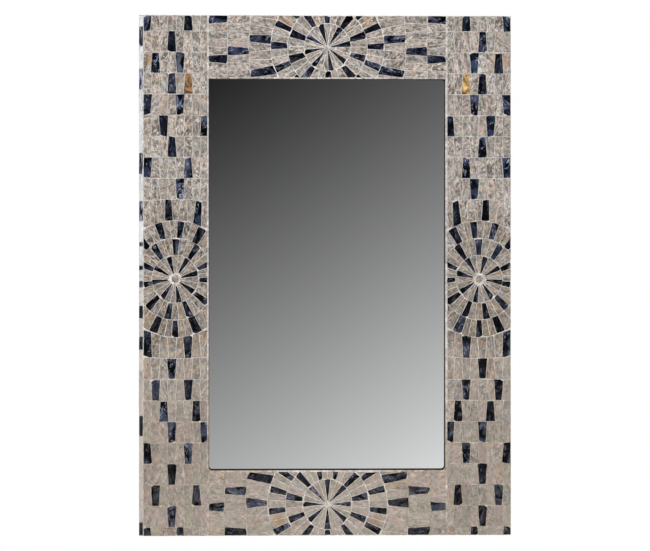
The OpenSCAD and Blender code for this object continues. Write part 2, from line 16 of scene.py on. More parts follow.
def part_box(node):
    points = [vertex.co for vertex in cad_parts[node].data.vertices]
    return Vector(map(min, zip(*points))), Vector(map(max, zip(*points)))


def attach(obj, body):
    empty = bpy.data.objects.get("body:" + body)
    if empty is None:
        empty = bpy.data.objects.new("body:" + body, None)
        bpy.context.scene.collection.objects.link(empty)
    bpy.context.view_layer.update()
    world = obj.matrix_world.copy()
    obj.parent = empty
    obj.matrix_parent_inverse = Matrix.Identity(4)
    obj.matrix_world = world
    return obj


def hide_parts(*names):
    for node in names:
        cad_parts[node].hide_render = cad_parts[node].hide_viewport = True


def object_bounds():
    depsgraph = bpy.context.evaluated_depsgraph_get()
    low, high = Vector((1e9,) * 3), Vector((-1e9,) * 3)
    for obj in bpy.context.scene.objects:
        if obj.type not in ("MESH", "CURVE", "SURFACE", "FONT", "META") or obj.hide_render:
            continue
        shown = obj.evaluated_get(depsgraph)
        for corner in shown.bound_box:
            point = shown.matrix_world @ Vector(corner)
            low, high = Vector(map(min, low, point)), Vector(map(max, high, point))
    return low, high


bl_info = {
    "name": "Mosaic Wall Mirror",
    "version": (1, 0, 0),
    "blender": (4, 5, 0),
    "location": "View3D > Sidebar > Wall Mirror",
    "description": "Dresses a mosaic wall mirror piece by piece",
    "category": "Object",
}

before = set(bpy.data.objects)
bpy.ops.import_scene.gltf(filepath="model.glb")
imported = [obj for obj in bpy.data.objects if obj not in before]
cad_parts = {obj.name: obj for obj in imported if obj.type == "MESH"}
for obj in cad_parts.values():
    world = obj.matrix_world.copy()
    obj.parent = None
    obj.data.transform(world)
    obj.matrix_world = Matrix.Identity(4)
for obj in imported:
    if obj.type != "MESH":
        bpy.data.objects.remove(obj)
CAD_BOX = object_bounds()

MM = 0.001
SIDES = ("left", "right", "top", "bottom")
OUTWARD = {
    "left": Vector((-1, 0, 0)),
    "right": Vector((1, 0, 0)),
    "top": Vector((0, 0, 1)),
    "bottom": Vector((0, 0, -1)),
}
FRONT = Vector((0, -1, 0))
# The photograph: its size, and where the frame's front face lies in it
PHOTO_W = 650
FACE_H_PX = 520
FACE_RIGHT_OF_MIDDLE_PX = 2.5
# The middles of the rosettes on the rails, and how far a rosette's rings reach
TOP_HUB = CAD_BOX[1].z - 43 * MM
BOTTOM_HUB = CAD_BOX[0].z + 42 * MM
RING_REACH = 80 * MM
# How far the grout's own tone reaches at the hub of a side rosette and of the top one
SIDE_HUB_REACH = 11 * MM
TOP_HUB_REACH = 7 * MM
# Heights between which the lower mosaic turns into the upper one: calm into crisp, warmer into cooler, and
# grey dark tiles into blue ones; also the rows at the foot into the rest, and where whitish painted
# highlights begin
CALM_TO_CRISP = (-250 * MM, -70 * MM)
WARM_TO_COOL = (-120 * MM, 60 * MM)
GREY_TO_BLUE = (-120 * MM, 120 * MM)
FOOT_TO_REST = (-290 * MM, -260 * MM)
PAINTED_HIGHLIGHTS_BEGIN = (-50 * MM, 120 * MM)
# The middle and the spread of the tiles' tones and hues, each 0 to 1
TONES = (0.5, 0.2)
HUES = (0.47, 0.09)
# The light that the pale shell's streaks ask for, and what it is held to
SHELL_LIGHT = (-0.2, 2.2, 0.12, 1.85)
# What is left of the pale shell's light round the side rosettes
BROWNED = (0.61, 0.57, 0.47)
# Amber stains in the pale shell: how far out and up from the mirror's middle, and their reach
STAINS = (
    (246 * MM, 290 * MM, 9 * MM),
    (56 * MM, 340 * MM, 11 * MM),
    (66 * MM, -330 * MM, 11 * MM),
    (13 * MM, -287 * MM, 7 * MM),
)
# Corners closer than WELD are one, and faces that meet within FLAT_ANGLE are one. A tile's front faces have
# a normal whose cosine to the direction it faces is over FACING, and an area over SMALLEST_FACE
WELD = 0.002 * MM
FLAT_ANGLE = math.radians(0.6)
FACING = 0.97
SMALLEST_FACE = 2 * MM * MM
# Edges between faces that meet at more than this are rounded on the woodwork and hardware
EASED_ANGLE = math.radians(50)
# A saw line is bent when it is BENT_FROM steps long, in MOST_BENDS places at most, each over BEND_SPAN steps
BENT_FROM = 1.5
MOST_BENDS = 5
BEND_SPAN = 1.7
# A polished face: how near its level its corners lie, its waves per metre, and from what length an edge in
# it is cut so that the waves show
FACE_DEPTH = 0.1 * MM
WAVES = 240
CUT_FROM = 2 * MM
# A tile's own map: its units per metre, and over how many units the tiles are scattered
MAP_UNITS = 100
MAP_SCATTER = 60
# The share of the dark tiles' growth that those of the bottom rail get
BOTTOM_GROWTH = 0.3
# Lamps: name, place from the middle of the mirror's front, size, whose power it takes, and what share
LAMPS = (
    ("key_lamp", (-0.9, -2.6, 1.5), 1.6, "key", 1.0),
    ("fill_lamp", (1.6, -2.4, 0.2), 1.6, "key", 0.45),
    ("side_lamp", (-2.2, -0.25, 0.5), 1.0, "side", 1.0),
    ("back_lamp", (0.8, 2.4, 1.4), 1.6, "key", 0.6),
)
# Sheets that only gloss sees: the flag's width, height and middle, and the card's width and height
FLAG = (1.7, 2.4, (-1.15, 0.9, 0))
CARD = (4.8, 2.9)
# The floor's own glow: the distances from its middle over which it grows, and from what to what
FLOOR_FADE = (0.8, 4.0)
FLOOR_GLOW = (0.40, 0.72)


def srgb(red, green, blue):
    """A colour given as 0 to 255, as the linear values that a shader takes."""
    picked = (red, green, blue)
    return tuple(((v / 255 + 0.055) / 1.055) ** 2.4 if v > 10 else v / 255 / 12.92 for v in picked)


def colour(name, description, picked):
    return FloatVectorProperty(
        name=name, description=description, default=srgb(*picked), subtype="COLOR", min=0, max=1
    )


def length(name, description, metres, top):
    return FloatProperty(
        name=name, description=description, default=metres, min=0, max=top, unit="LENGTH", precision=5
    )


def angle(name, description, degrees, top):
    return FloatProperty(
        name=name,
        description=description,
        default=math.radians(degrees),
        min=0,
        max=math.radians(top),
        unit="ROTATION",
    )


class TileLook(PropertyGroup):
    rounding: length("Edge rounding", "Radius worn on each tile's front edges", 0.45 * MM, 0.8 * MM)
    unevenness: length("Unevenness", "How far tile faces stand above or below others", 0.10 * MM, 0.3 * MM)
    relief: length("Relief", "Height of the waves in a tile's polished face", 0.07 * MM, 0.2 * MM)
    roughness: length("Rough sides", "How far a sawn side strays from a straight line", 0.27 * MM, 0.4 * MM)
    dark_growth: length("Dark growth", "How far dark tiles reach into the joints", 0.28 * MM, 0.4 * MM)
    rough_step: length("Rough step", "Distance between the bends of a sawn side", 3.0 * MM, 10 * MM)
    lean: angle("Lean", "How far a hand-laid tile leans off the plane", 0.7, 2)
    wander: angle("Wander", "How far the growth lines stray from a tile's long direction", 26, 90)
    seed: IntProperty(name="Seed", description="Changes which tile gets which look", default=6, min=0)
    cream: colour("Cream shell", "Middle tone of the pale tiles", (153, 145, 140))
    # The side tiles are the same shell as the front; this far paler tone is painted light from the side.
    side_cream: colour("Cream shell, sides", "Middle tone of the pale side tiles", (243, 244, 245))
    dark: colour("Dark shell", "Middle tone of the blue-black tiles", (16, 21, 33))
    amber: colour("Amber shell", "Middle tone of the amber tiles", (154, 110, 54))
    pink: colour("Pink shell", "Tone of the round tiles in the rosettes", (156, 138, 128))
    grout: colour("Grout", "Tone of the grout between the tiles", (208, 202, 197))


class BackLook(PropertyGroup):
    board: colour("Boards", "Tone of the sawn frame boards", (172, 134, 92))
    bead: colour("Beads", "Tone of the planed glazing beads", (205, 172, 122))
    hardboard: colour("Hardboard", "Tone of the pressed backing board", (120, 92, 64))
    steel: colour("Steel", "Tone of the zinc-plated hardware", (196, 198, 202))
    rubber: colour("Rubber", "Tone of the bumpers, blocks and seal", (26, 26, 28))
    edge: length("Eased edges", "Chamfer left by sanding on the boards", 0.6 * MM, 2 * MM)


class StudioLook(PropertyGroup):
    turn: angle("Camera turn", "How far the camera stands to the left of straight ahead", 13, 90)
    distance: FloatProperty(
        name="Camera distance", description="From camera to mirror", default=25.0, unit="LENGTH"
    )
    ambient: FloatProperty(name="Ambient", description="Strength of the even light", default=0.34, min=0)
    key: FloatProperty(
        name="Key lamp", description="Power of the large lamp in front", default=38.0, unit="POWER"
    )
    side: FloatProperty(
        name="Side lamp", description="Power of the lamp on the left", default=20.0, unit="POWER"
    )
    floor_radius: length("Floor radius", "Radius of the round floor", 14.0, 40.0)


# Shader arithmetic


class Wire:
    """A socket's value that takes part in plain arithmetic; each operation adds its Math node."""

    def __init__(self, shader, socket):
        self.shader = shader
        self.socket = socket

    def _maths(self, operation, first, second):
        return self.shader.add("Math", {"operation": operation}, {0: first, 1: second})

    def __add__(self, other):
        return self._maths("ADD", self, other)

    def __sub__(self, other):
        return self._maths("SUBTRACT", self, other)

    def __mul__(self, other):
        return self._maths("MULTIPLY", self, other)

    def __rsub__(self, other):
        return self._maths("SUBTRACT", other, self)

    __radd__ = __add__

    def limited(self):
        """The value held between 0 and 1."""
        return self.shader.add("Clamp", {}, {"Value": self})

    def between(self, low, high, to_low=0.0, to_high=1.0):
        """The value's place between two limits, eased, as a value between two others."""
        sockets = {"Value": self, "From Min": low, "From Max": high, "To Min": to_low, "To Max": to_high}
        return self.shader.add("MapRange", {"interpolation_type": "SMOOTHSTEP"}, sockets)


class Shader:
    """One node tree. add() makes any node from its type, its settings and its sockets' values or wires."""

    def __init__(self, name, tree=None):
        if tree is None:
            self.material = bpy.data.materials.new(name)
            self.material.use_nodes = True
            tree = self.material.node_tree
        self.tree = tree

    def add(self, kind, settings=None, sockets=None, out=0):
        node = self.tree.nodes.new("ShaderNode" + kind)
        for key, value in (settings or {}).items():
            if key == "stops":
                self._set_stops(node.color_ramp, value)
            else:
                setattr(node, key, value)
        for key, value in (sockets or {}).items():
            self.feed(node.inputs[key], value)
        return Wire(self, node.outputs[out])

    def feed(self, socket, value):
        if isinstance(value, Wire):
            self.tree.links.new(value.socket, socket)
        elif socket.type == "RGBA" and len(value) == 3:
            socket.default_value = (*value, 1)
        else:
            socket.default_value = value

    def _set_stops(self, ramp, stops):
        while len(ramp.elements) < len(stops):
            ramp.elements.new(1)
        for element, (place, picked) in zip(ramp.elements, stops):
            element.position = place
            element.color = (*picked, 1)

    def surface(self, **sockets):
        """Sets the Principled BSDF's sockets, named with underscores for spaces."""
        node = self.tree.nodes["Principled BSDF"]
        for key, value in sockets.items():
            self.feed(node.inputs[key.replace("_", " ")], value)

    def mix(self, first, second, factor, blend="MIX"):
        """Two colours blended."""
        settings = {"data_type": "RGBA", "blend_type": blend, "clamp_factor": True}
        return self.add("Mix", settings, {0: factor, 6: first, 7: second}, out=2)

    def scaled(self, colour, factor):
        """A colour made lighter or darker by a varying factor."""
        if not isinstance(colour, Wire):
            colour = self.add("Mix", {"data_type": "RGBA"}, {0: 0.0, 6: colour}, out=2)
        return self.add("VectorMath", {"operation": "SCALE"}, {0: colour, "Scale": factor})

    def stretched(self, place, scale):
        return self.add("Mapping", {}, {"Vector": place, "Scale": scale})

    def cloud(self, place, scale, detail=3.0, roughness=0.55, distortion=0.0):
        sockets = {
            "Vector": place,
            "Scale": scale,
            "Detail": detail,
            "Roughness": roughness,
            "Distortion": distortion,
        }
        return self.add("TexNoise", {}, sockets)

    def bump(self, height, distance, strength):
        return self.add("Bump", {}, {"Height": height, "Distance": distance, "Strength": strength})

    def object_place(self):
        return self.add("TexCoord", out="Object")

    def height_of(self, place):
        return self.add("SeparateXYZ", {}, {"Vector": place}, out="Z")


def shade(base, factor):
    """A linear colour made lighter or darker."""
    return tuple(min(1.0, v * factor) for v in base)


def tinted(base, other, share):
    return tuple(a + (b - a) * share for a, b in zip(base, other))


# Finishes. Shell finishes read each tile's own map "shell", 10 mm to the unit, and its own look:
# red is its tone, green its hue and blue how strongly it is streaked.


def tile_inputs(shader):
    grain = shader.add("UVMap", {"uv_map": "shell"})
    look = shader.add("Attribute", {"attribute_name": "tile_look"}, out="Color")
    parts = shader.add("SeparateColor", {}, {"Color": look}, out="Red").socket.node
    return grain, [Wire(shader, parts.outputs[i]) for i in range(3)]


def near(shader, place, across, up, reach, core=1.0):
    """1 round the point (across, up) and its mirror image at the other side, out to core times the reach.

    It falls to 0 at 1.3 times the reach.
    """
    flat = shader.add("VectorMath", {"operation": "MULTIPLY_ADD"}, {0: place, 1: (1, 0, 1), 2: (0, 0, -up)})
    folded = shader.add("VectorMath", {"operation": "ABSOLUTE"}, {0: flat})
    gap = shader.add("VectorMath", {"operation": "DISTANCE"}, {0: folded, 1: (across, 0, 0)}, out="Value")
    return 1 - gap.between(reach * core, reach * 1.3)


def near_side_rosette(shader, place, reach=RING_REACH):
    low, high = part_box("rosette_discs")
    return near(shader, place, high.x - (high.z - low.z) / 2, (low.z + high.z) / 2, reach)


def contour(shader, field, level, width):
    """A thin curling line where a field passes a level."""
    apart = shader.add("Math", {"operation": "ABSOLUTE"}, {0: field - level})
    return 1 - apart.between(width * 0.25, width)


def pale_shell(name, base, hues, contrast=1.0, warm_and_darker_below=(1, 1, 1), front=False, lift=0.0):
    """Polished pale shell: growth streaks, whitish curls with painted glints along them, brown flecks and
    tints that drift inside each tile.

    Tiles low on the frame are calmer, warmer and darker; on the side faces that darkening is painted shade.
    On the front, those round the side rosettes are browner.
    """
    shader = Shader(name)
    grain, (tone, hue, strength) = tile_inputs(shader)
    place = shader.object_place()
    height = shader.height_of(place)
    upper = height.between(*WARM_TO_COOL)
    crisp = height.between(*CALM_TO_CRISP)
    busy = (0.50 + strength * 0.50) * (0.36 + crisp * 0.18 + upper * 0.44) * contrast

    streak = shader.cloud(shader.stretched(grain, (1, 0.36, 1)), 1.7, 3, 0.50, 1.0)
    curl = shader.cloud(shader.stretched(grain, (1, 0.5, 1)), 1.5, 2, 0.45, 1.9)
    fleck = shader.cloud(shader.stretched(grain, (1, 0.60, 1)), 3.2, 2, 0.5, 1.0)
    wash = shader.cloud(grain, 1.0, 2, 0.5, 0.8)

    between = (hue - HUES[0]) * (1.35 - upper * 0.25)
    within = (wash - 0.5) * (1.2 + crisp * 1.7 - upper * 1.0)
    drift = 0.46 - upper * 0.02 + between + within
    if front:
        brown = near_side_rosette(shader, place)
        drift = drift + brown * (wash - 0.5) * 0.9
    body = shader.add("ValToRGB", {"stops": hues}, {"Fac": drift.limited()})
    light = 1 + lift + (tone - TONES[0]) * 0.40 + (wash - 0.5) * 0.5
    if front:
        share = brown * (0.34 - upper * 0.14 + streak.between(0.38, 0.62) * 0.55)
        body = shader.mix(body, BROWNED, share, "MULTIPLY")
        busy = busy + brown * 0.22
    light = light + busy * ((streak - 0.5) * 3.6 + (fleck - 0.5) * 3.0)
    body = shader.scaled(body, light.between(*SHELL_LIGHT))
    # Lower tiles are made warmer and darker; on the side faces the darkening is painted shade.
    body = shader.mix(body, shader.mix(warm_and_darker_below, (1, 1, 1), upper), 1.0, "MULTIPLY")
    dull = (1 - fleck).between(0.53, 0.63) * (1 - curl).between(0.42, 0.60)
    body = shader.mix(body, tinted(base, srgb(104, 84, 72), 0.85), dull * busy * 0.85)
    # Whitish strokes along the curls are painted glints of light on the polished shell.
    painted_glint = contour(shader, curl, 0.54, 0.055) * fleck.between(0.42, 0.60)
    if front:
        painted_glint = painted_glint * (1 - brown * 0.5)
    body = shader.mix(body, tinted(base, srgb(246, 240, 232), 0.85), painted_glint * busy * 0.80)
    if front:
        stained = sum(near(shader, place, *stain, core=0.1) for stain in STAINS)
        stained = stained * (0.25 + streak.between(0.42, 0.58) * 0.55)
        body = shader.mix(body, shader.mix(srgb(156, 126, 84), srgb(178, 130, 84), upper), stained)

    shader.surface(
        Base_Color=body,
        Roughness=0.34 + streak * 0.16,
        Coat_Weight=0.25,
        Coat_Roughness=0.15,
        Specular_IOR_Level=0.4,
        Normal=shader.bump(streak * 0.6 + curl * 0.4, 0.25 * MM, 0.5),
    )
    return shader.material


def cream_shell(name, base, **how):
    hues = (
        (0.05, tinted(base, srgb(152, 147, 160), 0.65)),
        (0.28, tinted(base, srgb(156, 151, 124), 0.58)),
        (0.46, base),
        (0.62, tinted(base, srgb(170, 146, 138), 0.55)),
        (0.80, tinted(base, srgb(166, 144, 112), 0.55)),
        (1.00, tinted(base, srgb(174, 134, 98), 0.45)),
    )
    return pale_shell(name, base, hues, **how)


def painted_lit_side_finish(name, base):
    """Shell of the side faces: the front's shell given a far paler tone, which is painted light from the
    side, with faint grey and cream drifts.
    """
    hues = ((0.15, shade(base, 0.82)), (0.45, base), (0.85, tinted(base, srgb(226, 214, 196), 0.6)))
    # The side tiles turn creamier and darker below; the darkening is painted shade.
    return pale_shell(name, base, hues, contrast=0.32, warm_and_darker_below=(0.76, 0.68, 0.60))


def pink_shell(look):
    base = look.pink
    green = tinted(base, srgb(150, 152, 128), 0.5)
    hues = ((0.2, green), (0.5, base), (0.8, shade(base, 1.12)))
    return pale_shell("pink_shell", base, hues, contrast=0.7)


def amber_shell(look):
    base = look.amber
    hues = (
        (0.26, srgb(96, 66, 30)),
        (0.40, shade(base, 0.78)),
        (0.52, base),
        (0.64, srgb(178, 138, 70)),
        (0.78, srgb(200, 168, 108)),
    )
    return pale_shell("amber_shell", base, hues, contrast=0.5, lift=-0.12)


def dark_shell(name, base, painted_highlight_share=0.0):
    """Blue-black shell that fades from black into teal, blue, violet or grey, with pale broken streaks that
    are painted highlights.

    The painted highlight share is how far patches turn whitish, as painted highlights, in the upper half.
    """
    shader = Shader(name)
    place = shader.object_place()
    grain, (tone, hue, strength) = tile_inputs(shader)
    broad = shader.cloud(shader.stretched(grain, (1, 0.7, 1)), 0.75, 1, 0.4, 0.6)
    streak = shader.cloud(shader.stretched(grain, (1, 0.42, 1)), 1.9, 2, 0.55, 1.0)
    glint = shader.cloud(shader.stretched(grain, (1, 0.5, 1)), 1.5, 2, 0.5, 1.6)

    shimmer = (
        (0.18, srgb(34, 70, 82)),
        (0.40, srgb(54, 76, 108)),
        (0.58, srgb(76, 68, 98)),
        (0.82, srgb(98, 106, 122)),
    )
    drift = hue + (streak - 0.5) * 1.3 + (broad - 0.5) * 0.9
    sheen = shader.add("ValToRGB", {"stops": shimmer}, {"Fac": drift.limited()})
    height = shader.height_of(place)
    upper = height.between(*GREY_TO_BLUE)
    sheen = shader.mix(srgb(74, 73, 76), sheen, 0.5 + upper * 0.5)
    body = shader.mix(srgb(23, 22, 25), base, upper)
    foot = 1 - height.between(*FOOT_TO_REST)
    body = shader.scaled(body, tone.between(0, 1, 0.15, 0.95) * streak.between(0.36, 0.56, 0.2, 1.0))
    lively = (strength * 1.5 - 0.3).limited() * (1 - near_side_rosette(shader, place) * 0.4)
    body = shader.mix(body, sheen, broad.between(0.46, 0.60) * (0.10 + lively * 0.68))
    body = shader.mix(body, sheen, streak.between(0.53, 0.69) * (0.12 + lively * 0.30))
    body = shader.mix(body, srgb(88, 88, 94), foot * streak.between(0.40, 0.58) * 0.32)
    # Pale broken streaks: painted highlights.
    pale = contour(shader, glint, 0.56, 0.06) * streak.between(0.48, 0.62)
    body = shader.mix(body, srgb(160, 168, 190), pale * (0.12 + lively * (0.40 + upper * 0.32)))
    # Whitish patches on the side faces' dark tiles, upper half only: painted highlights.
    if painted_highlight_share > 0:
        patches = broad.between(0.47, 0.61) * streak.between(0.36, 0.58, 0.3, 1.0) * painted_highlight_share
        patches = patches * height.between(*PAINTED_HIGHLIGHTS_BEGIN)
        body = shader.mix(body, srgb(204, 212, 230), patches)
    shader.surface(
        Base_Color=body,
        Roughness=0.26 + broad * 0.18,
        Coat_Weight=0.02,
        Coat_Roughness=0.12,
        Specular_IOR_Level=0.05,
        Normal=shader.bump(streak, 0.25 * MM, 0.45),
    )
    return shader.material


def grout_finish(name, look, shaded_below=None):
    """Sanded grout, stained towards the tiles' own tone in the plain fields and paler round the rosettes.

    The grout along an edge below a given height can be shaded.
    """
    shader = Shader(name)
    place = shader.object_place()
    sand = shader.cloud(place, 1900, 3, 0.6)
    stain = shader.cloud(place, 150, 3, 0.6, 0.6)
    height = shader.height_of(place)
    upper = height.between(*WARM_TO_COOL)
    crisp = height.between(*CALM_TO_CRISP)
    sides = near_side_rosette(shader, place)
    foot = near(shader, place, 0, BOTTOM_HUB, RING_REACH)
    side_hub = near_side_rosette(shader, place, SIDE_HUB_REACH)
    top = near(shader, place, 0, TOP_HUB, RING_REACH)
    top_hub = near(shader, place, 0, TOP_HUB, TOP_HUB_REACH)
    light = 0.77 + crisp * (0.25 - sides * 0.12) - upper * 0.14
    light = light + (stain - 0.5) * 2.3 + (sand - 0.5) * 0.35
    light += sides * 0.09 + side_hub * 0.12 + foot * 0.26
    light += top * 0.26 - top_hub * 0.20
    if shaded_below is not None:
        light = light - (1 - height.between(shaded_below, shaded_below + 3 * MM)) * 0.35
    whiter = (crisp + sides * 0.6 + foot * 0.7).limited()
    base = shader.mix(srgb(200, 186, 168), look.grout, whiter)
    shader.surface(
        Base_Color=shader.scaled(base, light),
        Roughness=0.78 + sand * 0.15,
        Normal=shader.bump(sand, 0.12 * MM, 0.7),
    )
    return shader.material


def silvered_glass():
    """The pane seen from the front: silver behind polished glass, with a faint haze of cleaning marks."""
    shader = Shader("mirror_glass")
    place = shader.object_place()
    haze = shader.cloud(shader.stretched(place, (1, 1, 0.35)), 9, 4, 0.6, 0.5)
    shader.surface(
        Base_Color=shader.mix(srgb(246, 247, 247), srgb(241, 242, 242), haze),
        Metallic=1.0,
        Roughness=0.012 + haze.between(0.45, 0.75) * 0.012,
    )
    return shader.material


def sawn_wood(name, base, along, tight=1.0, log=(0.02, 0.05, 0.02)):
    """Straight-grained wood: rings round a wavering pith beside the board, pores and colour drift."""
    shader = Shader(name)
    place = shader.add("VectorMath", {"operation": "ADD"}, {0: shader.object_place(), 1: log})
    across = [1, 1, 1]
    across[along] = 0.0
    slow = [14, 14, 14]
    slow[along] = 1.6
    fine = [520 * tight] * 3
    fine[along] = 16
    sway = shader.cloud(shader.stretched(place, slow), 1.0, 2, 0.4)
    flat = shader.stretched(place, across)
    radius = shader.add("VectorMath", {"operation": "LENGTH"}, {0: flat}, out="Value")
    rings_per_metre = 230 * tight
    rings = (radius + sway * 0.045) * rings_per_metre
    lines = shader.add("Math", {"operation": "PINGPONG"}, {0: rings, 1: 1.0})
    pores = shader.cloud(shader.stretched(place, fine), 1.0, 3, 0.65)
    drift = shader.cloud(shader.stretched(place, slow), 0.6, 2, 0.5)
    body = shader.mix(shade(base, 0.80), shade(base, 1.12), lines.between(0.0, 0.8))
    body = shader.mix(body, shade(base, 0.50), pores.between(0.56, 0.78) * 0.55)
    reddish = shade(tinted(base, srgb(160, 108, 64), 0.6), 0.9)
    body = shader.mix(body, reddish, drift.between(0.40, 0.70) * 0.4)
    relief = lines * 0.3 + pores * 0.7
    shader.surface(
        Base_Color=body, Roughness=0.62 + pores * 0.2, Normal=shader.bump(relief, 0.3 * MM, 0.6)
    )
    return shader.material


def pressed_board(base):
    """Hardboard: short felted fibres in every direction and a faint press sheen."""
    shader = Shader("hardboard")
    place = shader.object_place()
    fibre = shader.cloud(shader.stretched(place, (1, 1, 3)), 260, 5, 0.7, 1.2)
    blotch = shader.cloud(place, 14, 3, 0.55)
    body = shader.mix(shade(base, 0.70), shade(base, 1.28), fibre.between(0.35, 0.65))
    body = shader.mix(body, shade(base, 0.6), blotch.between(0.5, 0.8) * 0.4)
    shader.surface(
        Base_Color=body, Roughness=0.50 + fibre * 0.2, Normal=shader.bump(fibre, 0.2 * MM, 0.5)
    )
    return shader.material


def plated_steel(name, base, brightness=1.0):
    """Zinc plate: brushed marks, a slight yellow-blue bloom and dull spots."""
    shader = Shader(name)
    place = shader.object_place()
    brushed = shader.cloud(shader.stretched(place, (1, 1, 0.06)), 2600, 3, 0.6)
    bloom = shader.cloud(place, 160, 3, 0.6)
    body = shader.mix(shade(base, 0.74 * brightness), shade(base, 1.05 * brightness), brushed)
    body = shader.mix(body, srgb(190, 178, 140), bloom.between(0.55, 0.8) * 0.25)
    shader.surface(
        Base_Color=body,
        Metallic=1.0,
        Roughness=0.26 + bloom * 0.22,
        Normal=shader.bump(brushed, 0.03 * MM, 0.5),
    )
    return shader.material


def soft_rubber(name, base):
    shader = Shader(name)
    place = shader.object_place()
    skin = shader.cloud(place, 1500, 3, 0.6)
    dust = shader.cloud(place, 90, 3, 0.6)
    body = shader.mix(shade(base, 0.8), shade(base, 1.9), dust.between(0.5, 0.8) * 0.6)
    shader.surface(
        Base_Color=body, Roughness=0.62 + skin * 0.2, Normal=shader.bump(skin, 0.05 * MM, 0.6)
    )
    return shader.material


# Mesh work


def welded(node):
    """A CAD node's mesh as a bmesh, with its corners merged and its flat faces whole again."""
    bm = bmesh.new()
    bm.from_mesh(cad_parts[node].data)
    bmesh.ops.remove_doubles(bm, verts=bm.verts, dist=WELD)
    bmesh.ops.dissolve_limit(bm, angle_limit=FLAT_ANGLE, verts=bm.verts, edges=bm.edges)
    return bm


def islands(bm):
    """The separate solids of a bmesh, as lists of vertices, in the order of their lowest corners."""
    seen = set()
    found = []
    for start in bm.verts:
        if start in seen:
            continue
        seen.add(start)
        group = [start]
        for vert in group:
            for edge in vert.link_edges:
                other = edge.other_vert(vert)
                if other not in seen:
                    seen.add(other)
                    group.append(other)
        found.append(group)
    return sorted(found, key=lambda group: min((v.co.z, v.co.x, v.co.y) for v in group))


def edges_of(bm, faces):
    """The edges of some faces, each once, in the mesh's own order."""
    wanted = {edge for face in faces for edge in face.edges}
    return [edge for edge in bm.edges if edge in wanted]


def centre_of(verts):
    return sum((v.co for v in verts), Vector()) / len(verts)


def finished(bm, name, material, body="frame", replaces=(), smooth=35):
    """Turns a bmesh into a piece that rides on a body and stands for its CAD nodes."""
    mesh = bpy.data.meshes.new(name)
    bm.to_mesh(mesh)
    bm.free()
    mesh.polygons.foreach_set("use_smooth", [True] * len(mesh.polygons))
    mesh.set_sharp_from_angle(angle=math.radians(smooth))
    mesh.materials.append(material)
    piece = bpy.data.objects.new(name, mesh)
    bpy.context.scene.collection.objects.link(piece)
    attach(piece, body)
    if replaces:
        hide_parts(*replaces)


def rounded(bm, edges, width, segments):
    """Rounds some edges, without letting the rounds run into one another."""
    bmesh.ops.bevel(
        bm,
        geom=edges,
        offset=width,
        offset_type="OFFSET",
        segments=segments,
        profile=0.5,
        affect="EDGES",
        clamp_overlap=True,
        material=-1,
    )


def grown(bm, outward, by):
    """Moves every side of the tiles out by the same amount."""
    bm.normal_update()
    moves = []
    for v in bm.verts:
        sides = [f.normal for f in v.link_faces if abs(f.normal.dot(outward)) < 0.5]
        first, last = sides[0], sides[-1]
        moves.append((first + last) / (1 + first.dot(last)) * by)
    for v, move in zip(bm.verts, moves):
        v.co += move


def rough_sides(bm, outward, look):
    """Breaks the straight saw lines of the tiles' outlines, by the same amount at front and back."""
    outline = [e for e in bm.edges if abs((e.verts[1].co - e.verts[0].co).dot(outward)) < 0.01 * MM]
    outline = [e for e in outline if e.calc_length() > look.rough_step * BENT_FROM]
    cuts = {}
    for edge in outline:
        count = min(MOST_BENDS, round(edge.calc_length() / look.rough_step) - 1)
        cuts.setdefault(count, []).append(edge)
    for count, edges in cuts.items():
        if count > 0:
            bmesh.ops.subdivide_edges(bm, edges=edges, cuts=count, use_grid_fill=True)
    for v in bm.verts:
        flat = (v.co - outward * v.co.dot(outward)) / look.rough_step / BEND_SPAN
        push = Vector([noise.noise(flat + Vector((shift, shift, shift))) for shift in (0, 31, 67)])
        v.co += (push - outward * push.dot(outward)) * look.roughness


def lean_faces(bm, outward, look, chance):
    """Moves each tile's front face a little out or in, and leans it, as hand-laid tiles do."""
    for group in islands(bm):
        top = max(v.co.dot(outward) for v in group)
        face = [v for v in group if v.co.dot(outward) > top - FACE_DEPTH]
        middle = centre_of(face)
        axis = outward.orthogonal().normalized()
        axis.rotate(Matrix.Rotation(chance.uniform(0, math.tau), 3, outward))
        turn = Matrix.Rotation(chance.gauss(0, look.lean), 3, axis)
        lift = outward * chance.uniform(-look.unevenness, look.unevenness)
        for v in face:
            v.co = middle + turn @ (v.co - middle) + lift


def front_faces(bm, outward):
    """The tiles' polished faces."""
    return [f for f in bm.faces if f.normal.dot(outward) > FACING and f.calc_area() > SMALLEST_FACE]


def wavy_faces(bm, outward, look):
    """Gives each polished face low waves along its growth lines."""
    faces = front_faces(bm, outward)
    made = bmesh.ops.triangulate(bm, faces=faces)["faces"]
    inner = [e for e in edges_of(bm, made) if e.calc_length() > CUT_FROM]
    bmesh.ops.subdivide_edges(bm, edges=inner, cuts=2, use_grid_fill=True)
    bm.normal_update()
    moved = {v for face in front_faces(bm, outward) for v in face.verts}
    moved |= {v for v in bm.verts if all(f.normal.dot(outward) > FACING for f in v.link_faces)}
    for v in moved:
        v.co += outward * look.relief * noise.noise(v.co * WAVES)


def long_way(points):
    """The angle of the longest direction of a flat set of points."""
    middle = sum(points, Vector((0, 0))) / len(points)
    apart = [p - middle for p in points]
    wide = sum(p.x * p.x - p.y * p.y for p in apart)
    skew = sum(2 * p.x * p.y for p in apart)
    return math.atan2(skew, wide) / 2


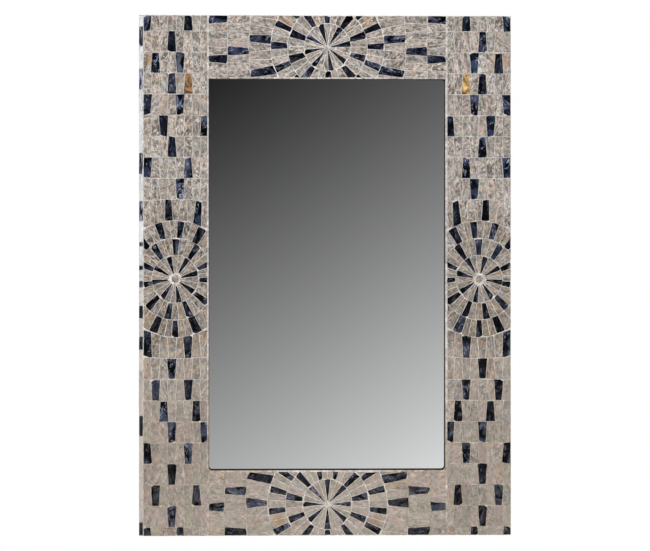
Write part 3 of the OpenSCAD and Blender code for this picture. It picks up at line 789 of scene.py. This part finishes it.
def mark_tiles(bm, outward, look, chance):
    """Writes each tile's own map, its growth lines mostly along the tile, and its look."""
    across, up = (i for i in range(3) if abs(outward[i]) < 0.5)
    grain = bm.loops.layers.uv.new("shell")
    looks = bm.verts.layers.float_color.new("tile_look")
    for group in islands(bm):
        middle = centre_of(group)
        turn = math.pi / 2 - long_way([Vector((v.co[across], v.co[up])) for v in group])
        turn += chance.gauss(0, look.wander)
        cos, sin = math.cos(turn), math.sin(turn)
        offset = Vector((chance.uniform(0, MAP_SCATTER), chance.uniform(0, MAP_SCATTER)))
        values = (
            min(1, max(0, chance.gauss(*TONES))),
            min(1, max(0, chance.gauss(*HUES))),
            chance.random(),
            1,
        )
        for v in group:
            v[looks] = values
            a = (v.co[across] - middle[across]) * MAP_UNITS
            b = (v.co[up] - middle[up]) * MAP_UNITS
            for loop in v.link_loops:
                loop[grain].uv = (offset.x + a * cos - b * sin, offset.y + a * sin + b * cos)


def lay_tiles(name, node, outward, material, look, growth=0.0):
    """Replaces flat CAD tiles by worn, slightly uneven ones."""
    chance = random.Random(f"{name} {look.seed}")
    bm = welded(node)
    grown(bm, outward, growth)
    rough_sides(bm, outward, look)
    lean_faces(bm, outward, look, chance)
    bm.normal_update()
    rounded(bm, edges_of(bm, front_faces(bm, outward)), look.rounding, 2)
    bm.normal_update()
    wavy_faces(bm, outward, look)
    mark_tiles(bm, outward, look, chance)
    finished(bm, name, material, replaces=[node])


def eased(node, material, width, segments=2, body="frame", sharp=35):
    """Replaces one CAD node by a copy with its sharp edges rounded."""
    bm = welded(node)
    if width > 0:
        edges = [e for e in bm.edges if len(e.link_faces) == 2 and e.calc_face_angle(0) > EASED_ANGLE]
        rounded(bm, edges, width, segments)
    finished(bm, node + "_finished", material, body=body, replaces=[node], smooth=sharp)


def dress(node, material):
    """Gives a CAD node that stays a new finish."""
    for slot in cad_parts[node].material_slots:
        slot.link = "OBJECT"
        slot.material = material


class MirrorOperator:
    bl_options = {"REGISTER", "UNDO"}

    @property
    def tiles(self):
        return bpy.context.scene.mirror_tiles

    @property
    def back(self):
        return bpy.context.scene.mirror_back

    def lay(self, stem, outward, shell, slot, growth=0.0):
        """Lays the tiles of the CAD node whose name is the stem and _tiles."""
        lay_tiles(stem + "_laid", stem + "_tiles", outward, shell, self.tiles, growth)


class WALLMIRROR_OT_cream_tiles(MirrorOperator, Operator):
    """Lay the pale shell tiles on the front and the side faces"""

    bl_idname = "wall_mirror.cream_tiles"
    bl_label = "Cream tiles"

    def execute(self, context):
        how = {"warm_and_darker_below": (0.965, 0.94, 0.895), "front": True}
        front = cream_shell("cream_shell", self.tiles.cream, **how)
        bottom = cream_shell("bottom_cream_shell", self.tiles.cream, lift=0.12, **how)
        # The side faces get a far paler copy of the shell: painted light from the side.
        sides = painted_lit_side_finish("side_cream_shell", self.tiles.side_cream)
        for side in SIDES:
            shell = bottom if side == "bottom" else front
            self.lay(side + "_cream", FRONT, shell, "cream_shell")
            self.lay(side + "_edge_cream", OUTWARD[side], sides, "cream_shell")
        return {"FINISHED"}


class WALLMIRROR_OT_dark_tiles(MirrorOperator, Operator):
    """Lay the blue-black shell tiles on the front and the side faces"""

    bl_idname = "wall_mirror.dark_tiles"
    bl_label = "Dark tiles"

    def execute(self, context):
        front = dark_shell("dark_shell", self.tiles.dark)
        # The side faces' dark tiles get whitish patches of painted highlight.
        sides = dark_shell("side_dark_shell", self.tiles.dark, painted_highlight_share=0.75)
        for side in SIDES:
            growth = self.tiles.dark_growth * (BOTTOM_GROWTH if side == "bottom" else 1)
            self.lay(side + "_dark", FRONT, front, "dark_shell", growth)
            self.lay(side + "_edge_dark", OUTWARD[side], sides, "dark_shell")
        return {"FINISHED"}


class WALLMIRROR_OT_accent_tiles(MirrorOperator, Operator):
    """Lay the amber tiles and the round tiles in the side rosettes"""

    bl_idname = "wall_mirror.accent_tiles"
    bl_label = "Accent tiles"

    def execute(self, context):
        self.lay("amber", FRONT, amber_shell(self.tiles), "amber_shell")
        pink = pink_shell(self.tiles)
        lay_tiles("discs_laid", "rosette_discs", FRONT, pink, self.tiles)
        return {"FINISHED"}


class WALLMIRROR_OT_grout(MirrorOperator, Operator):
    """Finish the grout, and round the opening's lower corners with it"""

    bl_idname = "wall_mirror.grout"
    bl_label = "Grout"

    corner_radius: length("Corner radius", "Grout fillet in the opening's lower corners", 3.2 * MM, 8 * MM)

    def execute(self, context):
        material = grout_finish("grout", self.tiles)
        top_material = grout_finish("top_grout", self.tiles, shaded_below=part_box("top_grout")[0].z)
        for side in SIDES:
            dress(side + "_grout", top_material if side == "top" else material)
            dress(side + "_edge_grout", material)
        low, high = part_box("bottom_grout")
        for side, corner_x in ((1, low.x), (-1, high.x)):
            self.corner("left" if side > 0 else "right", corner_x, side, high.z, low.y, high.y, material)
        return {"FINISHED"}

    def corner(self, name, x, side, z, front, back, material):
        """A fillet in the corner (x, z): an arc spun from one point, closed at the corner and drawn back."""
        bm = bmesh.new()
        r = self.corner_radius
        start = bm.verts.new((x, front, z + r))
        bmesh.ops.spin(
            bm,
            geom=[start],
            cent=(x + side * r, front, z + r),
            axis=(0, side, 0),
            angle=-math.pi / 2,
            steps=12,
            use_merge=False,
        )
        bm.verts.new((x, front, z))
        face = bmesh.ops.contextual_create(bm, geom=list(bm.verts))["faces"]
        made = bmesh.ops.extrude_face_region(bm, geom=face)["geom"]
        moved = [v for v in made if isinstance(v, bmesh.types.BMVert)]
        bmesh.ops.translate(bm, verts=moved, vec=(0, back - front, 0))
        bmesh.ops.recalc_face_normals(bm, faces=bm.faces)
        finished(bm, name + "_corner_grout", material)


class WALLMIRROR_OT_glazing(MirrorOperator, Operator):
    """Finish the pane, its seal and blocks, the backing board, and the beads with their pins"""

    bl_idname = "wall_mirror.glazing"
    bl_label = "Pane and glazing"

    # The black seal shows as a dark outline round the glass; its width in the sight, widest below, also
    # stands in for the shade in the gap between lip and glass, so that outline is partly painted shade.
    sight_left: length("Seal sight left", "Width of the seal that shows left of the glass", 2.0 * MM, 3 * MM)
    sight: length("Seal sight", "Width of the seal that shows above and right of the glass", 1.2 * MM, 3 * MM)
    sight_below: length("Seal sight below", "Width of the seal that shows below the glass", 2.3 * MM, 3 * MM)
    swell: length("Seal swell", "How far the seal swells out in front of the lip's back", 1.2 * MM, 2 * MM)
    corner_radius: length("Seal corner radius", "Radius of the seal's inner corners", 4.2 * MM, 8 * MM)

    def execute(self, context):
        back = self.back
        dress("mirror_pane", silvered_glass())
        rubber = soft_rubber("black_seal", back.rubber)
        self.seal(rubber)
        dress("setting_blocks", rubber)
        eased("backing_board", pressed_board(back.hardboard), 0.3 * MM)
        upright = sawn_wood("bead_upright", back.bead, 2, 2.0)
        lying = sawn_wood("bead_lying", back.bead, 0, 2.0)
        for side in SIDES:
            wood = upright if side in ("left", "right") else lying
            eased(side + "_bead", wood, 0.8 * MM, 3)
        dress("bead_pins", plated_steel("pin_steel", back.steel, 0.9))
        return {"FINISHED"}

    def seal(self, material):
        """The seal as a soft swelling bead: its section drawn along each side and turned at each corner.

        Each point of the section says how far out from the glass it lies, and its y.
        """
        low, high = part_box("glazing_seal")
        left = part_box("left_grout")[1].x + self.sight_left
        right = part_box("right_grout")[0].x - self.sight
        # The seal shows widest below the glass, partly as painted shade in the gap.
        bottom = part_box("bottom_grout")[1].z + self.sight_below
        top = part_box("top_grout")[0].z - self.sight
        reach = left - low.x
        section = (
            (0, high.y),
            (0, low.y),
            (self.sight * 0.15, low.y - self.swell * 0.6),
            (self.sight * 0.5, low.y - self.swell),
            (self.sight * 0.85, low.y - self.swell * 0.8),
            (self.sight * 0.98, low.y),
            (reach, low.y),
            (reach, high.y),
        )
        r = self.corner_radius
        bm = bmesh.new()
        verts = [bm.verts.new((left - out, y, bottom + r)) for out, y in section]
        loop = [bm.edges.new(pair) for pair in zip(verts, verts[1:] + verts[:1])]
        wide = right - left - 2 * r
        tall = top - bottom - 2 * r
        for way, middle in (
            ((0, 0, tall), (left + r, 0, top - r)),
            ((wide, 0, 0), (right - r, 0, top - r)),
            ((0, 0, -tall), (right - r, 0, bottom + r)),
            ((-wide, 0, 0), (left + r, 0, bottom + r)),
        ):
            made = bmesh.ops.extrude_edge_only(bm, edges=loop)["geom"]
            moved = {v for v in made if isinstance(v, bmesh.types.BMVert)}
            bmesh.ops.translate(bm, verts=list(moved), vec=way)
            loop = [e for e in made if isinstance(e, bmesh.types.BMEdge) and moved.issuperset(e.verts)]
            turned = bmesh.ops.spin(
                bm,
                geom=loop,
                cent=middle,
                axis=(0, 1, 0),
                angle=math.pi / 2,
                steps=8,
                use_merge=False,
            )["geom_last"]
            loop = [e for e in turned if isinstance(e, bmesh.types.BMEdge)]
        bmesh.ops.remove_doubles(bm, verts=bm.verts, dist=0.01 * MM)
        bmesh.ops.recalc_face_normals(bm, faces=bm.faces)
        finished(bm, "seal_laid", material, replaces=["glazing_seal"], smooth=50)


class WALLMIRROR_OT_boards(MirrorOperator, Operator):
    """Finish the four frame boards and their dowels"""

    bl_idname = "wall_mirror.boards"
    bl_label = "Boards"

    def execute(self, context):
        back = self.back
        base = back.board
        for node, along, tone, log in (
            ("left_stile_board", 2, 1.0, (0.150, 0.060, 0)),
            ("right_stile_board", 2, 0.92, (-0.270, 0.045, 0)),
            ("top_rail_board", 0, 1.06, (0, 0.070, -0.350)),
            ("bottom_rail_board", 0, 0.97, (0, 0.052, 0.250)),
        ):
            eased(node, sawn_wood(node + "_wood", shade(base, tone), along, log=log), back.edge)
        dress("joint_dowels", sawn_wood("dowel_wood", back.bead, 0, 2.0))
        return {"FINISHED"}


class WALLMIRROR_OT_hangers(MirrorOperator, Operator):
    """Finish the straps, rings, screws and wall bumpers"""

    bl_idname = "wall_mirror.hangers"
    bl_label = "Hangers and bumpers"

    def execute(self, context):
        back = self.back
        strip = plated_steel("hanger_steel", back.steel)
        wire = plated_steel("ring_steel", back.steel, 1.08)
        for side in ("left", "right"):
            eased(side + "_hanger_strap", strip, 0.25 * MM)
            eased(side + "_hanger_ring", wire, 0, body=side + "_ring", sharp=60)
        screw = plated_steel("screw_steel", back.steel, 0.92)
        eased("hanger_screws", screw, 0.35 * MM, 3)
        rubber = soft_rubber("bumper_rubber", back.rubber)
        eased("wall_bumpers", rubber, 1.2 * MM, 4)
        return {"FINISHED"}


class WALLMIRROR_OT_studio(MirrorOperator, Operator):
    """Set the camera, lamps, pale floor and the card that the pane reflects"""

    bl_idname = "wall_mirror.studio"
    bl_label = "Studio"

    floor_z: FloatProperty(
        name="Floor height", description="Floor level from the mirror's middle", default=-0.62, unit="LENGTH"
    )
    card_y: FloatProperty(
        name="Card place", description="Place of the reflected card along Y", default=-1.3, unit="LENGTH"
    )

    def execute(self, context):
        look = context.scene.mirror_studio
        context.scene.view_settings.view_transform = "Standard"
        self.camera(look)
        self.world(look)
        self.floor(look)
        self.card(look)
        self.flag()
        centre = Vector((0, CAD_BOX[0].y, 0))
        powers = {"key": look.key, "side": look.side}
        for name, place, size, lead, share in LAMPS:
            self.lamp(name, centre + Vector(place), centre, size, powers[lead] * share)
        return {"FINISHED"}

    def seen_rays(self, shader):
        """1 where the camera, gloss or glass looks, 0 where plain light arrives."""
        kinds = ("Is Camera Ray", "Is Glossy Ray", "Is Transmission Ray")
        return sum(shader.add("LightPath", out=kind) for kind in kinds).limited()

    def camera(self, look):
        low, high = CAD_BOX
        seen_width = (high.z - low.z) * PHOTO_W / FACE_H_PX
        aim_x = -FACE_RIGHT_OF_MIDDLE_PX * seen_width / PHOTO_W / math.cos(look.turn)
        aim = Vector((aim_x, low.y, (high.z + low.z) / 2))
        towards = Vector((math.sin(look.turn), math.cos(look.turn), 0))
        data = bpy.data.cameras.new("photo_camera")
        data.sensor_width = 36
        data.lens = data.sensor_width * look.distance / seen_width
        data.clip_end = 100
        camera = bpy.data.objects.new("photo_camera", data)
        camera.location = aim - towards * look.distance
        camera.rotation_euler = towards.to_track_quat("-Z", "Y").to_euler()
        bpy.context.scene.collection.objects.link(camera)
        bpy.context.scene.camera = camera

    def world(self, look):
        """Even white light, and plain white where the camera, gloss or glass looks past everything."""
        world = bpy.data.worlds.new("studio")
        world.use_nodes = True
        bpy.context.scene.world = world
        sky = Shader("studio", world.node_tree)
        background = world.node_tree.nodes["Background"]
        sky.feed(background.inputs["Strength"], look.ambient + self.seen_rays(sky) * (1 - look.ambient))
        background.inputs["Color"].default_value = (1, 1, 1, 1)

    def floor(self, look):
        """A floor as white as the background where it is seen, except for the shadow; clear from below."""
        bm = bmesh.new()
        bmesh.ops.create_circle(bm, cap_ends=True, segments=96, radius=look.floor_radius)
        bmesh.ops.translate(bm, verts=bm.verts, vec=(0, 0, self.floor_z))
        shader = Shader("floor")
        place = shader.object_place()
        from_middle = shader.add("VectorMath", {"operation": "LENGTH"}, {0: place}, out="Value")
        lift = self.seen_rays(shader) * from_middle.between(*FLOOR_FADE, *FLOOR_GLOW)
        shader.surface(
            Base_Color=srgb(244, 244, 244),
            Roughness=0.8,
            Emission_Color=shader.scaled((1, 1, 1), lift),
            Emission_Strength=1.0,
        )
        tree = shader.tree
        below = shader.add("NewGeometry", out="Backfacing")
        clear = shader.add("BsdfTransparent")
        solid = Wire(shader, tree.nodes["Principled BSDF"].outputs[0])
        either = shader.add("MixShader", {}, {0: below, 1: solid, 2: clear})
        tree.links.new(either.socket, tree.nodes["Material Output"].inputs["Surface"])
        self.staged(bm, "floor", shader.material)

    def staged(self, bm, name, material, gloss_only=False):
        """Adds a thing that is not part of the mirror; gloss_only hides it from all but glossy rays."""
        mesh = bpy.data.meshes.new(name)
        bm.to_mesh(mesh)
        bm.free()
        mesh.materials.append(material)
        thing = bpy.data.objects.new(name, mesh)
        for rays in ("camera", "diffuse", "transmission", "shadow"):
            setattr(thing, "visible_" + rays, not gloss_only)
        bpy.context.scene.collection.objects.link(thing)

    def upright_sheet(self, wide, high, middle):
        bm = bmesh.new()
        bmesh.ops.create_grid(bm, x_segments=1, y_segments=1, size=0.5)
        bmesh.ops.scale(bm, verts=bm.verts, vec=(wide, high, 1))
        bmesh.ops.rotate(bm, verts=bm.verts, matrix=Matrix.Rotation(math.radians(90), 3, "X"))
        bmesh.ops.translate(bm, verts=bm.verts, vec=middle)
        return bm

    def glowing(self, name, picked, strength):
        """A material that only glows."""
        shader = Shader(name)
        tree = shader.tree
        tree.nodes.remove(tree.nodes["Principled BSDF"])
        glow = shader.add("Emission", {}, {"Color": picked(shader), "Strength": strength})
        tree.links.new(glow.socket, tree.nodes["Material Output"].inputs["Surface"])
        return shader.material

    def flag(self):
        """A dark sheet behind on the left that only gloss sees, so that the side's dark tiles stay dark."""
        material = self.glowing("flag", lambda shader: srgb(48, 52, 62), 1.0)
        self.staged(self.upright_sheet(*FLAG), "flag", material, gloss_only=True)

    def card(self, look):
        """A card that only gloss sees: grey, from dark at the upper left to pale at the lower right."""
        material = self.glowing("card", lambda shader: self.card_grey(shader, look), 1.06)
        self.staged(self.upright_sheet(*CARD, (0, self.card_y, 0)), "card", material, gloss_only=True)

    def card_grey(self, shader, look):
        place = shader.add("SeparateXYZ", {}, {"Vector": shader.object_place()}).socket.node
        pane_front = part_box("mirror_pane")[0].y
        across = Wire(shader, place.outputs[0]) - (pane_front - self.card_y) * math.tan(look.turn)
        down = 0 - Wire(shader, place.outputs[2])
        # Grey as the eye reads it, 0 to 1: the darkest, the palest and that in the middle of the pane, and
        # its rise per metre across and down
        darkest, palest, middle = 0.15, 0.92, 0.508
        rise_across, rise_down = 0.55, 0.91
        level = middle - darkest + across * rise_across + down * rise_down
        folded = shader.add("Math", {"operation": "PINGPONG"}, {0: level, 1: palest - darkest})
        return shader.add("Math", {"operation": "POWER"}, {0: folded + darkest, 1: 2.2})

    def lamp(self, name, place, aim, size, power):
        data = bpy.data.lights.new(name, "AREA")
        data.size = size
        data.energy = power
        lamp = bpy.data.objects.new(name, data)
        lamp.location = place
        lamp.rotation_euler = (aim - place).to_track_quat("-Z", "Y").to_euler()
        lamp.visible_camera = False
        bpy.context.scene.collection.objects.link(lamp)


OPERATORS = (
    WALLMIRROR_OT_boards,
    WALLMIRROR_OT_grout,
    WALLMIRROR_OT_cream_tiles,
    WALLMIRROR_OT_dark_tiles,
    WALLMIRROR_OT_accent_tiles,
    WALLMIRROR_OT_glazing,
    WALLMIRROR_OT_hangers,
    WALLMIRROR_OT_studio,
)


class VIEW3D_PT_wall_mirror(Panel):
    """Lists the mirror's pieces and the looks that can be changed"""

    bl_label = "Wall Mirror"
    bl_space_type = "VIEW_3D"
    bl_region_type = "UI"
    bl_category = "Wall Mirror"

    def draw(self, context):
        for group in (context.scene.mirror_tiles, context.scene.mirror_back, context.scene.mirror_studio):
            box = self.layout.box()
            for name in group.__annotations__:
                box.prop(group, name)
        for operator in OPERATORS:
            self.layout.operator(operator.bl_idname)


CLASSES = (TileLook, BackLook, StudioLook, *OPERATORS, VIEW3D_PT_wall_mirror)


def register():
    for cls in CLASSES:
        bpy.utils.register_class(cls)
    bpy.types.Scene.mirror_tiles = PointerProperty(type=TileLook)
    bpy.types.Scene.mirror_back = PointerProperty(type=BackLook)
    bpy.types.Scene.mirror_studio = PointerProperty(type=StudioLook)


def unregister():
    del bpy.types.Scene.mirror_studio
    del bpy.types.Scene.mirror_back
    del bpy.types.Scene.mirror_tiles
    for cls in reversed(CLASSES):
        bpy.utils.unregister_class(cls)


def main():
    register()
    bpy.ops.wall_mirror.boards()
    bpy.ops.wall_mirror.grout()
    bpy.ops.wall_mirror.cream_tiles()
    bpy.ops.wall_mirror.dark_tiles()
    bpy.ops.wall_mirror.accent_tiles()
    bpy.ops.wall_mirror.glazing()
    bpy.ops.wall_mirror.hangers()
    bpy.ops.wall_mirror.studio()


if __name__ == "__main__":
    main()
